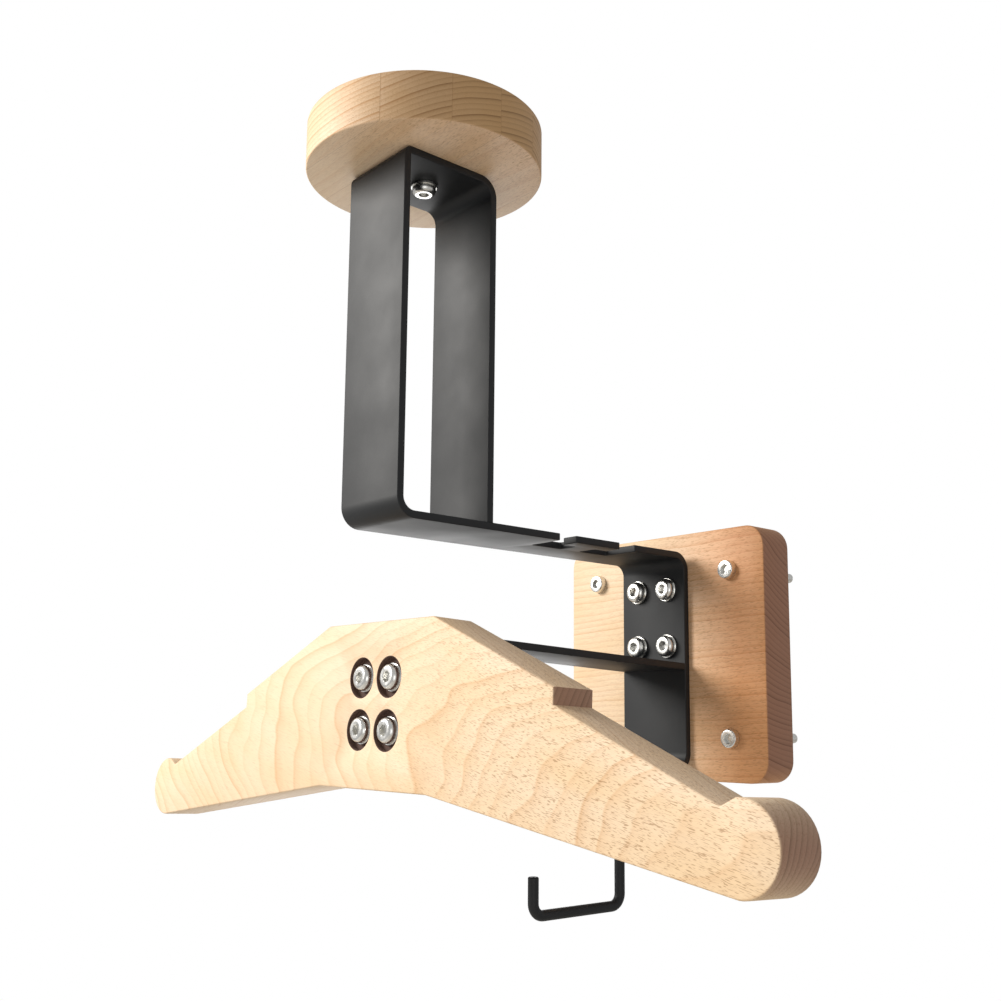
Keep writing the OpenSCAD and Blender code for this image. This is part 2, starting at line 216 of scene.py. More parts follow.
def inward(line, open_edges=()):
    """For each point of a closed outline that runs anticlockwise, the step that moves both its edges in by 1.
    It solves step . n1 = 1 and step . n2 = 1, with 0 in place of 1 for an edge that must keep its place."""
    edge = np.roll(line, -1, 0) - line
    normal = np.stack([-edge[:, 1], edge[:, 0]], -1) / np.linalg.norm(edge, axis=1)[:, None]
    by = np.ones(len(line))
    by[list(open_edges)] = 0
    n1, n2, d1, d2 = np.roll(normal, 1, 0), normal, np.roll(by, 1), by
    det = n1[:, 0] * n2[:, 1] - n1[:, 1] * n2[:, 0]
    flat = np.abs(det) < 1e-6
    det = np.where(flat, 1, det)
    step = np.stack([(d1 * n2[:, 1] - d2 * n1[:, 1]) / det, (d2 * n1[:, 0] - d1 * n2[:, 0]) / det], -1)
    return np.where(flat[:, None], n2 * d2[:, None], step)


def board(line, thickness, edge, holes=(), open_edges=(), step=4):
    """A board in its own frame: line is its outline in (u, v), depth runs from 0 to thickness.

    The side is the outline carried along a profile: a quarter circle of radius edge, the straight side, and a
    second quarter circle. The two faces are flat, and the front one leaves room for round holes (u, v, radius)."""
    t = np.linspace(0, np.pi / 2, step)
    inset = np.concatenate([edge * (1 - np.sin(t)), edge * (1 - np.cos(t))])
    depth = np.concatenate([edge * (1 - np.cos(t)), thickness - edge * (1 - np.sin(t))])
    move = inward(line, open_edges)
    plan = line[None] + move[None] * inset[:, None, None]
    side = np.concatenate([plan, np.broadcast_to(depth[:, None, None], plan.shape[:2] + (1,))], -1)
    return [(side, False, True)], [face(side[0], holes), face(side[-1], ())]


def face(rim, holes):
    """Flat triangles inside a rim of points (u, v, depth), outside the holes (u, v, radius) of 48 sides."""
    n = len(rim)
    points, edges = [rim[:, :2]], [np.stack([np.arange(n), (np.arange(n) + 1) % n], -1)]
    a = np.linspace(0, 2 * np.pi, 48, endpoint=False)
    for u, v, r in holes:
        points.append(np.stack([u + r * np.cos(a), v + r * np.sin(a)], -1))
        k = np.arange(48)
        edges.append(n + np.stack([k, (k + 1) % 48], -1))
        n += 48
    points, edges = np.concatenate(points), np.concatenate(edges)
    out, _, tris, *_ = delaunay_2d_cdt([Vector(p) for p in points.tolist()], edges.tolist(), [], 1, 1e-6)
    out = np.array([tuple(p) for p in out])
    tris = np.array([list(t) for t in tris])
    keep = np.ones(len(tris), bool)
    for u, v, r in holes:
        on_rim = np.abs(np.hypot(out[:, 0] - u, out[:, 1] - v) - r) < 1e-3
        keep &= ~on_rim[tris].all(1)
    return np.concatenate([out, np.full((len(out), 1), rim[0, 2])], 1), tris[keep].tolist()


def turned(profile, hexness=None, sides=48):
    """A turned shape about +Z: profile is (radius, height) pairs. Where hexness is 1 the radius is that of a
    hexagon with the given distance from middle to flat, radius / cos(angle from the nearest flat's middle)."""
    profile = np.array(profile, float)
    k = np.zeros(len(profile)) if hexness is None else np.array(hexness, float)
    a = np.linspace(0, 2 * np.pi, sides, endpoint=False)
    hexagon = 1 / np.cos((a + np.pi / 6) % (np.pi / 3) - np.pi / 6)
    r = profile[:, :1] * (1 + k[:, None] * (hexagon - 1))
    return np.stack([r * np.cos(a), r * np.sin(a), np.broadcast_to(profile[:, 1:], r.shape)], -1)


def thread(radius, start, end, pitch=1.0, depth=0.32, sides=36):
    """Threaded shank: the radius falls by depth and back once per pitch, as a smooth wave of height / pitch minus
    angle / full turn, and fades to the core at the free end."""
    z = np.linspace(start, end, max(8, int((end - start) / pitch * 8)))[:, None]
    a = np.linspace(0, 2 * np.pi, sides, endpoint=False)[None]
    wave = 0.5 - 0.5 * np.cos(2 * np.pi * (z / pitch - a / (2 * np.pi)))
    r = radius - depth * wave
    r = np.minimum(r, radius - 0.25 + (end - z) * 0.7)
    points = np.stack([r * np.cos(a), r * np.sin(a), np.broadcast_to(z, r.shape)], -1)
    axis = np.array([0, 0, 1.0])
    return np.concatenate([points[:1] * axis, points, points[-1:] * axis])


def strip(path, edge):
    """Steel strip whose section, a rectangle with rounded edges, is carried along a path of (y, z) points. At each
    point the section stands on the mean of the two neighbouring directions, stretched by the mitre."""
    w, h = STRIP_WIDTH / 2, STRIP / 2
    section = rounded([(-w, -h), (w, -h), (w, h), (-w, h)], [edge] * 4, 30)
    d = np.diff(path, axis=0)
    d /= np.linalg.norm(d, axis=1)[:, None]
    n = np.stack([-d[:, 1], d[:, 0]], -1)
    first, last = np.concatenate([n[:1], n]), np.concatenate([n, n[-1:]])
    across = (first + last) / (1 + (first * last).sum(1))[:, None]
    yz = path[:, None] + across[:, None] * section[None, :, 1:]
    x = np.broadcast_to(section[None, :, :1], yz.shape[:2] + (1,))
    grid = np.concatenate([x, yz], -1)
    loop = list(range(len(section)))
    return [(grid, False, True)], [(grid[0], [loop]), (grid[-1], [loop[::-1]])]


def placed(points, origin, axis="z", turn=0.0):
    """Points made about +Z, stood along an axis ("z" up, "y" into the wall) and moved to origin, after a turn
    about their own axis."""
    c, s = math.cos(turn), math.sin(turn)
    p = points @ np.array([[c, s, 0], [-s, c, 0], [0, 0, 1.0]])
    if axis == "y":
        p = np.stack([p[..., 0], p[..., 2], -p[..., 1]], -1)
    return p + np.array(origin, float)


def from_loop(p):
    """From the lower loop's own frame to the rack's: turned about the flange's lower bend."""
    c, s = math.cos(RISE), math.sin(RISE)
    return np.stack([p[..., 0], ELBOW[0] + p[..., 1] * c + p[..., 2] * s,
                     ELBOW[1] - p[..., 1] * s + p[..., 2] * c], -1)


def from_hanger(p):
    """From the hanger's frame, at the middle of its bolts on its back face, to the rack's."""
    return from_loop(p + np.array([0, HANGER[0], HANGER[1]]))


def button_head(d=HEAD, h=3.8, socket=5.0, deep=2.8):
    """Domed head above z = 0 and below -h, its hexagon socket open downwards: a turned profile whose socket rings
    are hexagons. The dome is an arc from the flat top's rim to the straight rim."""
    t = np.linspace(0, 1, 9)
    flat, rim = d * 0.33, 0.9
    dome = np.stack([flat + (d / 2 - flat) * np.sin(t * np.pi / 2), -rim - (h - rim) * np.cos(t * np.pi / 2)], -1)
    inner = [(0, -h + deep), (socket / 2 * 0.98, -h + deep), (socket / 2, -h + deep - 0.15), (socket / 2, -h + 0.25),
             (socket / 2 * 1.16, -h + 0.02), (flat - 0.3, -h)]
    outer = [(d / 2, -0.25), (d / 2 - 0.25, 0), (0, 0)]
    profile = inner + dome.tolist() + outer
    return turned(profile, [0, 1, 1, 1, 0.25, 0] + [0] * (len(profile) - 6))


def cap_head(d=WALL_HEAD, h=WALL_HEAD_HEIGHT, socket=5.0, deep=2.0):
    """Low round head with a broken edge and a hexagon socket, from z = -h to 0."""
    e = 0.7
    t = np.linspace(0, np.pi / 2, 5)
    crown = np.stack([d / 2 - 0.4 - e + e * np.sin(t), -h + e * (1 - np.cos(t))], -1)
    profile = [(0, -h + deep), (socket / 2 * 0.98, -h + deep), (socket / 2, -h + deep - 0.15), (socket / 2, -h + 0.3),
               (socket / 2 * 1.18, -h)] + crown.tolist() + [(d / 2, -0.8), (d / 2, -0.2), (d / 2 - 0.2, 0), (0, 0)]
    return turned(profile, [0, 1, 1, 1, 0.2] + [0] * (len(profile) - 5))


def washer(d=14.5, bore=6.6, t=WASHER):
    """Flat ring from z = 0 to t: a closed profile with broken edges, turned."""
    e = 0.25
    ring = [(bore / 2, 0.15), (bore / 2 + 0.15, 0), (d / 2 - e, 0), (d / 2, e), (d / 2, t - e), (d / 2 - e, t),
            (bore / 2 + 0.15, t), (bore / 2, t - 0.15)]
    return turned(ring)


def nut(width=10.0, bore=6.0, t=5.0):
    """Hexagon nut from z = 0 to t. Its corners are cut by a cone of 30 degrees: the height there is t less the part
    of the radius past 0.98 of the middle-to-flat distance, times tan 30."""
    a = width / 2
    rings = [(bore / 2, 0.4), (bore / 2 + 0.4, 0), (a * 0.93, 0), (a, 0.01), (a, t - 0.01), (a * 0.93, t),
             (bore / 2 + 0.4, t), (bore / 2, t - 0.4)]
    p = turned(rings, [0, 0, 0, 1, 1, 0, 0, 0], 72)
    over = np.maximum(np.hypot(p[3:5, :, 0], p[3:5, :, 1]) - a * 0.98, 0) * math.tan(math.radians(30))
    p[3, :, 2] += over[0]
    p[4, :, 2] -= over[1]
    return p


# ---- Materials -------------------------------------------------------------------------------------------


def linear(code, gain=1.0):
    """Linear RGBA of an sRGB hex colour."""
    srgb = [int(code[k:k + 2], 16) / 255 for k in (0, 2, 4)]
    return [(c / 12.92 if c <= 0.04045 else ((c + 0.055) / 1.055) ** 2.4) * gain for c in srgb] + [1.0]


def feed(node, inputs):
    """Sets a node's inputs, by name or number: each to a value, to a socket or to a node's first output in use."""
    for key, value in inputs.items():
        if isinstance(value, bpy.types.Node):
            value = next(out for out in value.outputs if out.enabled)
        if isinstance(value, bpy.types.NodeSocket):
            node.id_data.links.new(value, node.inputs[key])
        else:
            node.inputs[key].default_value = value


def add(tree, kind, inputs=None, **settings):
    """A node with its settings and inputs. A Mix node's two colours are its inputs 6 and 7."""
    made = tree.nodes.new("ShaderNode" + kind)
    for key, value in settings.items():
        setattr(made, key, value)
    feed(made, inputs or {})
    return made


def new_material(name):
    """An empty material with its shader, and that shader."""
    made = bpy.data.materials.new(name)
    made.use_nodes = True
    made.node_tree.nodes.clear()
    shader = add(made.node_tree, "BsdfPrincipled")
    add(made.node_tree, "OutputMaterial", {"Surface": shader})
    return made, made.node_tree, shader


def beech(name, pith, tilt, flecks, warp, heart_and_shade=None, stave=0.0, stave_from=0.0, ring=None, contrast=1.0,
          end=None):
    """Solid beech, sanded and oiled, its grain along X: growth rings are cylinders about a tilted pith axis.

    A point's ring is its distance from that axis, warped by slow noise, over the ring width; each ring darkens
    slowly and ends in a thin brown line. Rays show as short fine flecks along the grain, and wood cut across the
    grain is darker: partly the real darker end grain, partly painted shade for the shaded sides. Given a span
    (from x, to x, share) for browning, the wood turns browner to the right: painted shade on the wall plate, and
    plainly browner towards the right on the disc. Staves shift the rings from one to the next, with a hair-thin
    glue line between them. The oil leaves a low, even sheen."""
    wood = bpy.context.scene.rack_wood
    made, t, shader = new_material(name)
    spot = add(t, "TexCoord")
    facing = add(t, "SeparateXYZ", {0: spot.outputs["Normal"]})
    place = add(t, "Mapping", {"Vector": spot.outputs["Object"], "Scale": (1000,) * 3})
    parts = add(t, "SeparateXYZ", {0: place})
    if stave:
        from_edge = add(t, "Math", {0: parts.outputs["Y"], 1: stave_from}, operation="SUBTRACT")
        count = add(t, "Math", {0: from_edge, 1: stave}, operation="DIVIDE")
        number = add(t, "Math", {0: count}, operation="FLOOR")
        luck = add(t, "TexWhiteNoise", {"W": number}, noise_dimensions="1D")
        shift = add(t, "VectorMath", {0: luck.outputs["Color"], 1: (90, 120, 20)}, operation="MULTIPLY")
        place = add(t, "VectorMath", {0: place, 1: shift}, operation="ADD")
        within = add(t, "Math", {0: count}, operation="FRACT")
        joint = add(t, "MapRange", {"Value": within, "From Min": 0.35 / stave, "From Max": 0.0, "To Max": 0.5})

    # growth rings
    tilted = add(t, "Mapping", {"Vector": place, "Rotation": tilt, "Location": (0, -pith[1], -pith[2])})
    across = add(t, "VectorMath", {0: tilted, 1: (0, 1, 1)}, operation="MULTIPLY")
    coarse = add(t, "VectorMath", {0: tilted, 1: (0.009, 0.02, 0.02)}, operation="MULTIPLY")
    slow = add(t, "TexNoise", {"Vector": coarse, "Scale": 1.0, "Detail": 2.0, "Roughness": 0.4})
    sway = add(t, "VectorMath", {0: slow.outputs["Color"], 1: (0, warp, warp)}, operation="MULTIPLY")
    bent = add(t, "VectorMath", {0: across, 1: sway}, operation="ADD")
    away = add(t, "VectorMath", {0: bent}, operation="LENGTH")
    rings = add(t, "Math", {0: away, 1: ring or wood.ring_width}, operation="DIVIDE")
    part = add(t, "Math", {0: rings}, operation="FRACT")
    late = add(t, "ValToRGB", {0: part})
    ramp = late.color_ramp
    ramp.elements[0].color = ramp.elements[1].color = (0, 0, 0, 1)
    for where, value in ((0.5, 0.2), (0.8, 0.6), (0.9, 1.0)):
        ramp.elements.new(where).color = (value, value, value, 1)
    number = add(t, "Math", {0: rings}, operation="FLOOR")
    year = add(t, "TexWhiteNoise", {"W": number}, noise_dimensions="1D")
    strong = add(t, "MapRange", {"Value": year.outputs["Value"], "To Min": 0.3, "To Max": 1.05})
    amount = add(t, "Math", {0: late, 1: strong}, operation="MULTIPLY")
    line = add(t, "Math", {0: amount, 1: contrast}, operation="MULTIPLY", use_clamp=True)
    if stave:                                             # the sanded faces show the rings less than the rim does
        level = add(t, "Math", {0: facing.outputs["Z"]}, operation="ABSOLUTE")
        quiet = add(t, "MapRange", {"Value": level, "To Min": 1.0, "To Max": 0.25})
        line = add(t, "Math", {0: line, 1: quiet}, operation="MULTIPLY")

    # broad warm streaks under the rings, and browning towards the right, which on the wall plate is painted shade
    streaks = add(t, "VectorMath", {0: tilted, 1: (0.012, 0.05, 0.05)}, operation="MULTIPLY")
    broad = add(t, "TexNoise", {"Vector": streaks, "Scale": 1.0, "Detail": 2.0})
    warmth = add(t, "MapRange", {"Value": broad, "From Min": 0.35, "From Max": 0.7, "To Max": 0.55})
    body = add(t, "Mix", {"Factor": warmth, 6: linear(wood.early), 7: linear(wood.warm)}, data_type="RGBA")
    body = add(t, "Mix", {"Factor": line, 6: body, 7: linear(wood.late)}, data_type="RGBA")
    if heart_and_shade:
        wander = add(t, "VectorMath", {0: broad.outputs["Color"], 1: (50, 0, 0)}, operation="MULTIPLY")
        cloud = add(t, "Math", {0: parts.outputs["X"], 1: wander}, operation="ADD")
        brown = add(t, "MapRange", {"Value": cloud, "From Min": heart_and_shade[0], "From Max": heart_and_shade[1], "To Max": heart_and_shade[2]})
        body = add(t, "Mix", {"Factor": brown, 6: body, 7: linear(wood.heart_and_shade)}, data_type="RGBA",
                   blend_type="MULTIPLY")

    # rays: flecks about 2.5 mm long and 0.4 mm high, of which one in six is dark, over finer pores
    lie = add(t, "Mapping", {"Vector": place, "Rotation": (0, tilt[1], 0)})
    short = add(t, "VectorMath", {0: lie, 1: (0.4, 3.1, 3.1)}, operation="MULTIPLY")
    rays = add(t, "TexNoise", {"Vector": short, "Scale": 1.0, "Detail": 0.0})
    dark = add(t, "MapRange", {"Value": rays, "From Min": 0.6, "From Max": 0.7})
    many = add(t, "MapRange", {"Value": parts.outputs["X"], "From Min": flecks[0], "From Max": flecks[1],
                               "To Max": flecks[2]})
    dark = add(t, "Math", {0: dark, 1: many}, operation="MULTIPLY")
    thin = add(t, "VectorMath", {0: lie, 1: (0.2, 3.6, 3.6)}, operation="MULTIPLY")
    fine = add(t, "TexNoise", {"Vector": thin, "Scale": 1.0, "Detail": 2.0})
    pores = add(t, "MapRange", {"Value": fine, "From Min": 0.5, "From Max": 0.75, "To Max": 0.22})
    spots = add(t, "Math", {0: dark, 1: pores}, operation="MAXIMUM")
    body = add(t, "Mix", {"Factor": spots, 6: body, 7: linear(wood.ray)}, data_type="RGBA")

    # cut across the grain: how far the surface's normal lies along X. Real end grain is darker, and it is darkened
    # further here as painted shade, matched to the shaded sides that face right
    along = add(t, "Math", {0: facing.outputs["X"]}, operation="ABSOLUTE")
    cut = add(t, "MapRange", {"Value": along, "From Min": 0.3, "To Max": 0.85})
    end_grain_and_shade = add(t, "Mix", {"Factor": amount, 6: linear(end or wood.end), 7: linear(end or wood.end, 0.35)},
               data_type="RGBA")
    body = add(t, "Mix", {"Factor": cut, 6: body, 7: end_grain_and_shade}, data_type="RGBA")
    if stave:
        body = add(t, "Mix", {"Factor": joint, 6: body, 7: linear(wood.ray)}, data_type="RGBA")
    rough = add(t, "MapRange", {"Value": spots, "To Min": 0.52, "To Max": 0.75})
    bump = add(t, "Bump", {"Height": spots, "Strength": 0.15, "Distance": 0.0002}, invert=True)
    feed(shader, {"Base Color": body, "Roughness": rough, "Specular IOR Level": 0.3, "Normal": bump})
    return made


def bored_beech_painted_shade(name):
    """Beech where a drill has cut it: rougher than the planed face, with the cutter's fine marks, and painted very
    dark as shade in the recess.
    """
    wood = bpy.context.scene.rack_wood
    made, t, shader = new_material(name)
    spot = add(t, "TexCoord")
    grain = add(t, "TexNoise", {"Vector": spot.outputs["Object"], "Scale": 900.0, "Detail": 3.0})
    # painted shade: the pocket's walls and floor get a very dark end-grain brown for the shade inside the recess
    painted_shade_tone = add(t, "Mix", {"Factor": grain, 6: linear(wood.end, 0.12), 7: linear(wood.end, 0.4)}, data_type="RGBA")
    rough = add(t, "MapRange", {"Value": grain, "To Min": 0.7, "To Max": 0.9})
    bump = add(t, "Bump", {"Height": grain, "Strength": 0.3, "Distance": 0.0003})
    feed(shader, {"Base Color": painted_shade_tone, "Roughness": rough, "Normal": bump})
    return made


def powder_coat():
    """Polyester powder coat on mild steel, baked satin black: a close orange-peel skin, about 1.5 mm from hump to
    hump, that blurs reflections and leaves a soft grey sheen on broad faces."""
    made, t, shader = new_material("Powder-coated steel")
    spot = add(t, "TexCoord")
    peel = add(t, "TexNoise", {"Vector": spot.outputs["Object"], "Scale": 700.0, "Detail": 2.0})
    cloud = add(t, "TexNoise", {"Vector": spot.outputs["Object"], "Scale": 30.0, "Detail": 3.0})
    rough = add(t, "MapRange", {"Value": cloud, "From Min": 0.3, "From Max": 0.7, "To Min": 0.53, "To Max": 0.61})
    bump = add(t, "Bump", {"Height": peel, "Strength": 0.12, "Distance": 0.0002})
    feed(shader, {"Base Color": linear(bpy.context.scene.rack_metal.coat), "Roughness": rough,
                  "Specular IOR Level": 0.42, "Normal": bump})
    return made


def plated(name, code, smoothest=0.18, roughest=0.34):
    """Bright zinc plating or turned brass: a metal with fine turning marks and faint cloudy patches."""
    made, t, shader = new_material(name)
    spot = add(t, "TexCoord")
    cloud = add(t, "TexNoise", {"Vector": spot.outputs["Object"], "Scale": 260.0, "Detail": 3.0})
    marks = add(t, "TexNoise", {"Vector": spot.outputs["Object"], "Scale": 2500.0, "Detail": 1.0})
    rough = add(t, "MapRange", {"Value": cloud, "From Min": 0.3, "From Max": 0.7, "To Min": smoothest,
                                "To Max": roughest})
    bump = add(t, "Bump", {"Height": marks, "Strength": 0.06, "Distance": 0.0001})
    feed(shader, {"Base Color": linear(code), "Metallic": 1.0, "Roughness": rough, "Normal": bump})
    return made


def shared(name, maker):
    """The material of that name, made once."""
    return bpy.data.materials.get(name) or maker()


def coat():
    return shared("Powder-coated steel", powder_coat)


def zinc():
    return shared("Zinc-plated steel", lambda: plated("Zinc-plated steel", bpy.context.scene.rack_metal.zinc))


# ---- Pieces ----------------------------------------------------------------------------------------------


class RACK_OT_wall_plate(bpy.types.Operator):
    """Beech wall plate: a board with rounded corners and broken edges"""

    bl_idname = "rack.wall_plate"
    bl_label = "Wall plate"

    def execute(self, context):
        wood = context.scene.rack_wood
        w, t, h = size("wall_plate")
        cx, cz = middle("wall_plate")[[0, 2]]
        corners = [(-w / 2, -h / 2), (w / 2, -h / 2), (w / 2, h / 2), (-w / 2, h / 2)]
        line = rounded(corners, [wood.plate_corner / MM] * 4, 7)
        grids, flats = board(line, t, wood.edge / MM)

        def place(p):
            return np.stack([p[..., 0] + cx, p[..., 2] - t, p[..., 1] + cz], -1)

        piece("wall_plate_beech", [(place(g), a, b) for g, a, b in grids], [(place(p), f) for p, f in flats],
              ["wall_plate"], beech("Beech, wall plate", pith=(0, 45, 118), tilt=(0, 0.06, 0.05),
                                             # painted shade: the plate turns browner from x = 0 to 70 mm, where it
                                             # lies behind the frame and near the wall
                                             flecks=(-90, 40, 0.4), heart_and_shade=(0, 70, 0.9), warp=10, contrast=0.7))
        return {"FINISHED"}


class RACK_OT_frame(bpy.types.Operator):
    """Frame of bent steel strip, with the strap hook cut into its upper arm"""

    bl_idname = "rack.frame"
    bl_label = "Steel frame"

    def execute(self, context):
        edge = context.scene.rack_metal.edge / MM
        low, high = (np.array(v) / MM for v in BOXES["steel_frame"])
        front, wall, top = low[1] + STRIP / 2, high[1] - STRIP / 2, high[2] - STRIP / 2
        arm, back = 60.0, front + 58                      # the upper arm's height and the back post's depth
        loop_front, loop_top, loop_end = -176.0, 51.0, 4.6          # of the lower loop, in its own frame
        cut_front, cut_back = -140.0, -62.0               # the stretch of the arm that holds the strap hook
        posts = rounded([(back, arm + STRIP / 2), (back, top), (front, top), (front, arm), (cut_front, arm)],
                        [0, BEND, FOLD, BEND, 0], 5)
        flange = rounded([(cut_back, arm), (wall, arm), (wall, ELBOW[1])], [0, BEND, 0], 5)
        loop = rounded([(BEND, 0), (BEND, -BEND), (loop_front, -BEND), (loop_front, loop_top), (loop_end, loop_top)],
                       [0, BEND, FOLD, FOLD, 0], 5)[2:]   # the flange ends where the loop's first bend starts
        loop = from_loop(np.concatenate([np.zeros((len(loop), 1)), loop], 1))[:, 1:]
        grids, flats = [], []
        for path in (posts, np.concatenate([flange, loop])):
            for found, into in zip(strip(path, edge), (grids, flats)):
                into.extend(found)

        edge_x, slot_x, head_x = STRIP_WIDTH / 2, 1.5, 14.0         # the arm's edge, the slots' ends, the head's back
        centre, stem, head, gap = -101.5, 7.5, 17.5, 30.0           # the hook's middle, and half of each length
        near = [(edge_x, -gap), (slot_x, -gap), (slot_x, -stem), (head_x, -stem), (head_x, -head), (edge_x, -head)]
        far = [(x, -y) for x, y in near[::-1]]
        plan = [(-edge_x, cut_front), (edge_x, cut_front)] + [(x, centre + y) for x, y in near + far]
        line = rounded(plan + [(edge_x, cut_back), (-edge_x, cut_back)],
                       [0, 0, 0.6, 1, 1, 1, 1, 0.8, 0.8, 1, 1, 1, 1, 0.6, 0, 0], 30)
        ends = [0, int(np.argmin(np.abs(line - [edge_x, cut_back]).sum(1)))]
        for found, into in zip(board(line, STRIP, edge, open_edges=ends), (grids, flats)):
            for points, *rest in found:
                points = np.stack([points[..., 0], points[..., 1], arm + STRIP / 2 - points[..., 2]], -1)
                into.append((points, *rest))
        piece("steel_frame_strip", grids, flats, ["steel_frame"], coat(), 35,
              seams=(cut_front, cut_back))
        return {"FINISHED"}


class RACK_OT_disc(bpy.types.Operator):
    """Round helmet rest: a turned block of glued beech staves"""

    bl_idname = "rack.disc"
    bl_label = "Helmet disc"

    def execute(self, context):
        wood = context.scene.rack_wood
        w, _, t = size("helmet_disc")
        cx, cy, cz = middle("helmet_disc")
        e, r = wood.edge / MM, w / 2
        q = np.linspace(0, np.pi / 2, 5)
        lower = np.stack([r - e + e * np.sin(q), e - e * np.cos(q)], -1)
        upper = lower[::-1] * [1, -1] + [0, t]
        profile = [(0, 0), (r * 0.5, 0)] + lower.tolist() + upper.tolist() + [(r * 0.5, t), (0, t)]
        points = placed(turned(profile, sides=160), (cx, cy, cz - t / 2))
        piece("helmet_disc_beech", [(points, False, True)], (), ["helmet_disc"],
              beech("Beech, helmet disc", pith=(0, cy + 70, cz - 150), tilt=(0, 0.01, 0.03), stave=wood.stave_width,
                    stave_from=cy, flecks=(-60, 60, 0.5), heart_and_shade=(-15, 85, 0.35), warp=7, ring=2.7, contrast=1.5,
                    end="BF9766"))
        return {"FINISHED"}


class RACK_OT_hanger(bpy.types.Operator):
    """Jacket hanger: a shaped beech board with steps, lips, rounded ends and four bolt pockets"""

    bl_idname = "rack.hanger"
    bl_label = "Jacket hanger"

    def execute(self, context):
        wood = context.scene.rack_wood
        slope = math.tan(math.radians(22.4))              # fall of the wings
        flat, top, bottom = 45.0, 41.0, -42.0             # half of the level middle, and its two edges
        step_x, step_down = 129.0, 7.5                    # where the wing's top steps down, and how far
        step_z = top - (step_x - flat) * slope
        r, reach, lip_rise = 17.3, 241.0, 3.5             # rounded end, half width, and rise of the lip
        end_x = reach - r
        lip_x = end_x - r / 2
        lip_z = step_z - step_down - (lip_x - step_x) * slope
        end_z = lip_z + lip_rise - r
        a = np.radians(np.arange(97, -99, -7))
        crown = np.stack([end_x + r * np.cos(a), end_z + r * np.sin(a)], -1)
        above = rounded([(0, top), (flat, top), (step_x, step_z), (step_x, step_z - step_down), (lip_x, lip_z),
                         tuple(crown[0])], [0, 6, 0, 0, 1.5, 0], 6)[1:-1]
        below = rounded([tuple(crown[-1]), (flat, bottom), (0, bottom)], [0, 8, 0], 6)[1:-1]
        right = np.concatenate([above, crown, below])
        line = np.concatenate([right * [-1, 1], right[::-1]])

        mouth = POCKET + 0.4                              # each pocket's edge is broken by 0.4 mm
        holes = [(x, z, mouth) for x in (-BOLT_X, BOLT_X) for z in (-BOLT_Z, BOLT_Z)]
        grids, flats = board(line, HANGER_BOARD, wood.edge / MM, holes)
        bore = turned([(mouth, 0), (POCKET + 0.12, 0.12), (POCKET, 0.4), (POCKET, POCKET_DEPTH - 0.3),
                       (POCKET - 0.3, POCKET_DEPTH), (4, POCKET_DEPTH), (0, POCKET_DEPTH)])
        grids += [(bore + [x, z, 0], False, True) for x, z, _ in holes]

        def place(p):
            return from_hanger(np.stack([p[..., 0], p[..., 2] - HANGER_BOARD, p[..., 1]], -1))

        piece("jacket_hanger_beech", [(place(g), u, v) for g, u, v in grids], [(place(p), f) for p, f in flats],
              ["jacket_hanger"],
              beech("Beech, jacket hanger", pith=(0, -62, -52), tilt=(0, -0.22, 0.2), flecks=(-40, 110, 0.55),
                    warp=18, contrast=0.6),
              # the pockets take a material painted dark as shade in the recess
              second=bored_beech_painted_shade("Bored beech, painted shade"), from_grid=1)
        return {"FINISHED"}


class RACK_OT_hook(bpy.types.Operator):
    """Rod hook: a round rod bent twice, its threaded end through the lower arm, with two nuts and washers"""

    bl_idname = "rack.hook"
    bl_label = "Rod hook"

    def execute(self, context):
        r = context.scene.rack_metal.rod / MM / 2
        low, high = (np.array(v) / MM for v in BOXES["rod_hook"])
        shank, leg, tip = high[1] - r, low[2] + r, low[1] + r
        bend, rise, threaded, chamfer, sides = 7.0, 21.0, 30.0, 0.5, 28
        path = rounded([(tip, leg + rise), (tip, leg), (shank, leg), (shank, high[2])], [0, bend, bend, 0], 7)
        first = path[1] - path[0]
        path = np.concatenate([path[:1], path[:1] + first / np.linalg.norm(first) * chamfer, path[1:-1],
                               path[-1:] - [[0, threaded]]])
        d = np.gradient(path, axis=0)
        d /= np.linalg.norm(d, axis=1)[:, None]
        n = np.stack([-d[:, 1], d[:, 0]], -1)
        a = np.linspace(0, 2 * np.pi, sides, endpoint=False)
        rod = np.full(len(path), r)
        rod[0] = r - chamfer
        yz = path[:, None] + n[:, None] * (np.sin(a)[None, :, None] * rod[:, None, None])
        x = np.broadcast_to((np.cos(a)[None] * rod[:, None])[..., None], yz.shape[:2] + (1,))
        tube = np.concatenate([x, yz], -1)
        start = np.broadcast_to(np.array([0, *path[0]]), tube[:1].shape)
        end = placed(thread(r, 0, threaded, sides=sides), (0, shank, high[2] - threaded))[2:]
        end = np.roll(end[:, ::-1], 1, 1)                 # same way round as the tube
        piece("rod_hook_rod", [(np.concatenate([start, tube, end]), False, True)], (), ["rod_hook"],
              coat(), 40)
        for name, maker in (("hook_nut_upper", nut), ("hook_nut_lower", nut), ("hook_washer_upper", washer),
                            ("hook_washer_lower", washer)):
            points = placed(maker(), (0, shank, BOXES[name][0][2] / MM), turn=0.4)
            piece(name + "_zinc", [(points, True, True)], (), [name], zinc(), 25)
        return {"FINISHED"}


